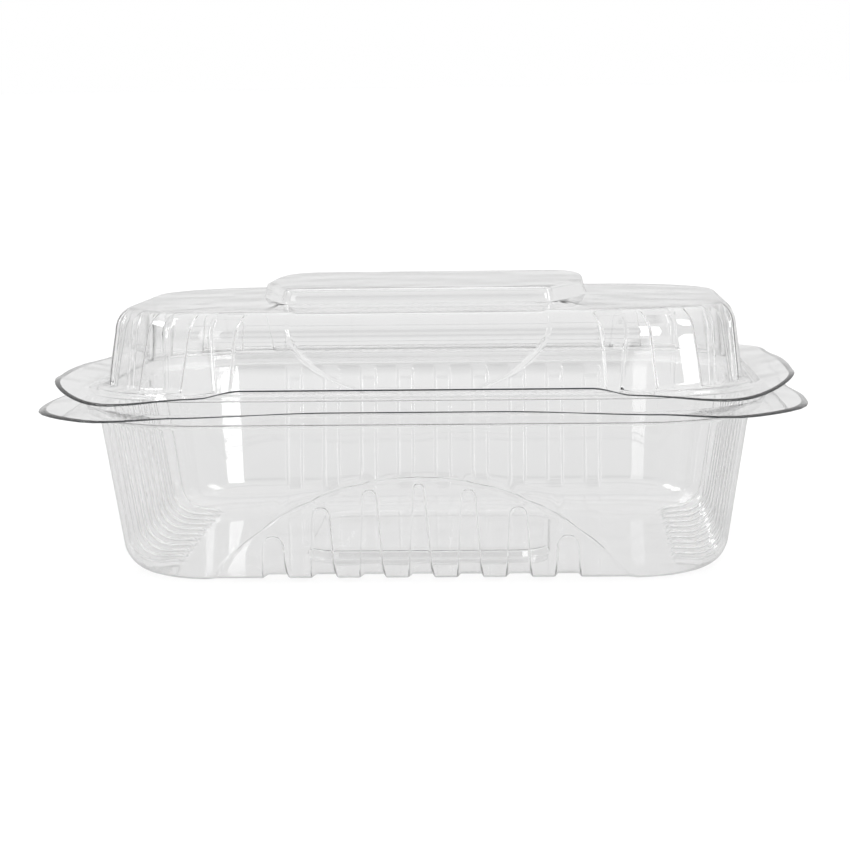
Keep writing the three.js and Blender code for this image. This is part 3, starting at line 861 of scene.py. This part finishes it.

# %% [markdown]
# ## The fold
# The hinge is only the same sheet, creased thinner along one line so that it bends there. It is drawn as a
# narrow strip bowed out from the edge of one leaf to the other.

# %% Build the fold
FOLD_MM = 0.2
FOLD_BOW = 0.42
FOLD_TURN = 118
FOLD_COLUMNS = 81
FOLD_ROWS = 13
# The crease is pressed in as a row of dimples, DIMPLE_PITCH apart.
DIMPLE_PITCH = 4
DIMPLE_DEPTH = 0.12


def make_fold():
    """A strip whose section is most of a small circle round the hinge's line."""
    across = np.linspace(-FOLD_HALF, FOLD_HALF, FOLD_COLUMNS)
    turns = np.radians(np.linspace(-FOLD_TURN, FOLD_TURN, FOLD_ROWS))
    points, faces = [], []
    for x in across:
        pinch = 1 - DIMPLE_DEPTH * math.cos(x * math.pi / DIMPLE_PITCH) ** 8
        points += [(x * MM, (HINGE_Y + FOLD_BOW * pinch * math.cos(a)) * MM,
                    (HINGE_Z + FOLD_BOW * pinch * math.sin(a)) * MM) for a in turns]
    for i in range(FOLD_COLUMNS - 1):
        for j in range(FOLD_ROWS - 1):
            a = i * FOLD_ROWS + j
            faces.append((a, a + FOLD_ROWS, a + FOLD_ROWS + 1, a + 1))
    mesh = bpy.data.meshes.new("hinge_fold")
    mesh.from_pydata(points, [], faces)
    mesh.shade_smooth()
    fold = bpy.data.objects.new("hinge_fold", mesh)
    bpy.context.scene.collection.objects.link(fold)
    mesh.materials.append(clear_sheet("creased_polyester_fold", "#eeeeee", smooth=0.08, hazy=0.2,
                                      wave_height_mm=0.02))
    shell = fold.modifiers.new("sheet thickness", "SOLIDIFY")
    shell.thickness = FOLD_MM * MM
    shell.offset = 0
    print("the fold has", len(faces), "faces")
    return fold


fold = make_fold()
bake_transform(fold)

# %% [markdown]
# ## Floor, light and camera
# The box stands on white paper. A clear thing is only seen by what it mirrors and bends, so the room is
# what draws it: a bright sky over it that lights the paper, a grey band low down all round that its walls
# mirror, a slightly darker card on either side, dark stripes in front that darken the steep faces and the
# lid, and four soft lamps for the white glints on the corners. A long lens looks down at the box from about
# 0.7 m in front.


# %% Floor
FIBRE_MM = 2
FLOOR_HALF = 20.0
# Where the box mirrors the paper it is painted shade, grey, turning dark over this stretch in front of it, in
# metres.
PAPER_FADE = (-0.3, -0.22)


def paper():
    """Matt paper with faint fibres: white to the camera, and painted shade to the box, light grey, or dark
    far in front.
    """
    material, tree = new_material("matt_white_paper")
    place = add(tree, "ShaderNodeTexCoord").outputs["Object"]
    fibres = add(tree, "ShaderNodeTexNoise", {"Vector": place, "Scale": 1 / (FIBRE_MM * MM), "Detail": 3.0})
    relief = add(tree, "ShaderNodeBump",
                 {"Height": fibres.outputs["Fac"], "Strength": 0.2, "Distance": 0.02 * MM})
    path = add(tree, "ShaderNodeLightPath")
    parts = add(tree, "ShaderNodeSeparateXYZ", {"Vector": place})
    ahead = add(tree, "ShaderNodeMapRange",
                {"Value": parts.outputs["Y"], "From Min": PAPER_FADE[0], "From Max": PAPER_FADE[1]})
    # Painted shade in the box's reflections: every ray but the camera's sees the paper grey, and dark far in
    # front.
    grey = add(tree, "ShaderNodeMix", {0: ahead.outputs[0], 6: linear("#303030"), 7: linear("#dadada")},
               data_type="RGBA")
    shade = add(tree, "ShaderNodeMix", {0: path.outputs["Is Camera Ray"], 6: grey.outputs[2],
                                        7: linear("#ffffff")}, data_type="RGBA")
    matt = add(tree, "ShaderNodeBsdfPrincipled",
               {"Base Color": shade.outputs[2], "Roughness": 0.9, "Specular IOR Level": 0.1,
                "Normal": relief.outputs["Normal"]})
    add(tree, "ShaderNodeOutputMaterial", {"Surface": matt.outputs[0]})
    return material


floor_mesh = bpy.data.meshes.new("floor")
floor_mesh.from_pydata([(x * FLOOR_HALF, y * FLOOR_HALF, 0) for x, y in ((-1, -1), (1, -1), (1, 1), (-1, 1))],
                       [], [(0, 1, 2, 3)])
floor = bpy.data.objects.new("floor", floor_mesh)
floor_mesh.materials.append(paper())
bpy.context.scene.collection.objects.link(floor)
print("floor", 2 * FLOOR_HALF, "m wide")

# %% Sky and lamps
SKY = 1.3
BAND = 0.86
CARD = 0.75
DARK = 0.04
# Where each fades into the next, as shares of the way up, to the side and back.
BAND_TOP = (0.45, 0.65)
CARD_EDGE = (0.6, 0.7)
CARD_TOP = (0.35, 0.45)
FRONT_EDGE = (-0.35, -0.25)
# The stripes in front: how far up each stop lies, and 1 where it is dark.
LOW_STRIPE_END = (0.1, 0.16)
FRONT_STRIPES = [(0.26, 0), (0.3, 1), (0.42, 1), (0.47, 0),
                 (0.708, 0), (0.724, 1), (0.746, 1), (0.762, 0)]
LAMP_AWAY = 1.8
LAMP_AIM = Vector((0, 0, 0.04))


def mapped(tree, value, between, low, high, **settings):
    """A node that goes from low to high while value passes between two places."""
    return add(tree, "ShaderNodeMapRange",
               {"Value": value, "From Min": between[0], "From Max": between[1],
                "To Min": low, "To Max": high}, **settings)


def sky():
    """A bright sky over a grey band, with side cards and front stripes, and white to the camera."""
    world = bpy.data.worlds.new("studio")
    bpy.context.scene.world = world
    world.use_nodes = True
    tree = world.node_tree
    tree.nodes.clear()
    place = add(tree, "ShaderNodeTexCoord").outputs["Generated"]
    parts = add(tree, "ShaderNodeSeparateXYZ", {"Vector": place}).outputs
    light = mapped(tree, parts["Z"], BAND_TOP, BAND, SKY, interpolation_type="SMOOTHSTEP")
    sideways = add(tree, "ShaderNodeMath", {0: parts["X"]}, operation="ABSOLUTE")
    across = mapped(tree, sideways.outputs[0], CARD_EDGE, 0.0, 1.0, interpolation_type="SMOOTHSTEP")
    below = mapped(tree, parts["Z"], CARD_TOP, 1.0, 0.0, interpolation_type="SMOOTHSTEP")
    card = add(tree, "ShaderNodeMath", {0: across.outputs[0], 1: below.outputs[0]}, operation="MULTIPLY")
    room = add(tree, "ShaderNodeMix", {0: card.outputs[0], 2: light.outputs[0], 3: CARD}, data_type="FLOAT")
    ahead = mapped(tree, parts["Y"], FRONT_EDGE, 1.0, 0.0)
    inside = add(tree, "ShaderNodeMath", {0: 1.0, 1: across.outputs[0]}, operation="SUBTRACT")
    middle = add(tree, "ShaderNodeMath", {0: inside.outputs[0], 1: ahead.outputs[0]}, operation="MULTIPLY")
    height = mapped(tree, parts["Z"], (0.0, 1.0), 0.0, 1.0)
    stripes = add(tree, "ShaderNodeValToRGB", {"Fac": height.outputs[0]})
    stops = stripes.color_ramp.elements
    stops[0].position = LOW_STRIPE_END[0]
    stops[0].color = (1, 1, 1, 1)
    stops[1].position = LOW_STRIPE_END[1]
    stops[1].color = (0, 0, 0, 1)
    for up, share in FRONT_STRIPES:
        stops.new(up).color = (share, share, share, 1)
    front = add(tree, "ShaderNodeMath", {0: middle.outputs[0], 1: stripes.outputs["Color"]},
                operation="MULTIPLY")
    dark = add(tree, "ShaderNodeMix", {0: front.outputs[0], 2: room.outputs[0], 3: DARK}, data_type="FLOAT")
    path = add(tree, "ShaderNodeLightPath")
    seen = add(tree, "ShaderNodeMix", {0: path.outputs["Is Camera Ray"], 2: dark.outputs[0], 3: 1.0},
               data_type="FLOAT")
    shine = add(tree, "ShaderNodeBackground", {"Strength": seen.outputs[0]})
    shine.inputs["Color"].default_value = (1, 1, 1, 1)
    add(tree, "ShaderNodeOutputWorld", {"Surface": shine.outputs[0]})


def lamp(name, bearing_deg, height_deg, wide_deg, tall_deg, shine):
    """A soft rectangular lamp aimed at the box, by its bearing from the front and its height in degrees."""
    bearing_at, height_at = math.radians(bearing_deg), math.radians(height_deg)
    towards = Vector((math.sin(bearing_at) * math.cos(height_at), -math.cos(bearing_at) * math.cos(height_at),
                      math.sin(height_at)))
    light = bpy.data.lights.new(name, "AREA")
    light.shape = "RECTANGLE"
    light.size = 2 * LAMP_AWAY * math.tan(math.radians(wide_deg / 2))
    light.size_y = 2 * LAMP_AWAY * math.tan(math.radians(tall_deg / 2))
    light.energy = shine * math.pi * light.size * light.size_y
    holder = bpy.data.objects.new(name, light)
    bpy.context.scene.collection.objects.link(holder)
    holder.location = towards * LAMP_AWAY + LAMP_AIM
    holder.rotation_euler = (-towards).to_track_quat("-Z", "Y").to_euler()
    holder.visible_diffuse = False


sky()
lamp("left_lamp", -93, 41, 26, 11, 4)
lamp("right_lamp", 79, 33, 14, 24, 3.5)
lamp("front_left_lamp", -23, 18, 18, 24, 1.6)
lamp("front_right_lamp", 38, 18, 20, 26, 5)
bpy.context.scene.view_settings.view_transform = "Standard"
print("sky", SKY, "band", BAND)

# %% Camera
LENS_MM = 107.43
SENSOR_MM = 36.0
CAMERA_AT = (0.03431, -0.668, 0.12318)
PITCH = 0.13776
YAW = 0.05381
ROLL = -0.01521
forwards = Vector((-math.sin(YAW) * math.cos(PITCH), math.cos(YAW) * math.cos(PITCH), -math.sin(PITCH)))
level = Vector((math.cos(YAW), math.sin(YAW), 0))
above = Vector((-math.sin(YAW) * math.sin(PITCH), math.cos(YAW) * math.sin(PITCH), math.cos(PITCH)))
right_side = level * math.cos(ROLL) + above * math.sin(ROLL)
upwards = above * math.cos(ROLL) - level * math.sin(ROLL)
camera_data = bpy.data.cameras.new("camera")
camera_data.lens = LENS_MM
camera_data.sensor_width = SENSOR_MM
camera_data.sensor_fit = "HORIZONTAL"
camera = bpy.data.objects.new("camera", camera_data)
bpy.context.scene.collection.objects.link(camera)
turned = Matrix((right_side, upwards, -forwards)).transposed().to_4x4()
camera.matrix_world = Matrix.Translation(CAMERA_AT) @ turned
bpy.context.scene.camera = camera
print("camera", CAMERA_AT, "lens", LENS_MM, "mm")
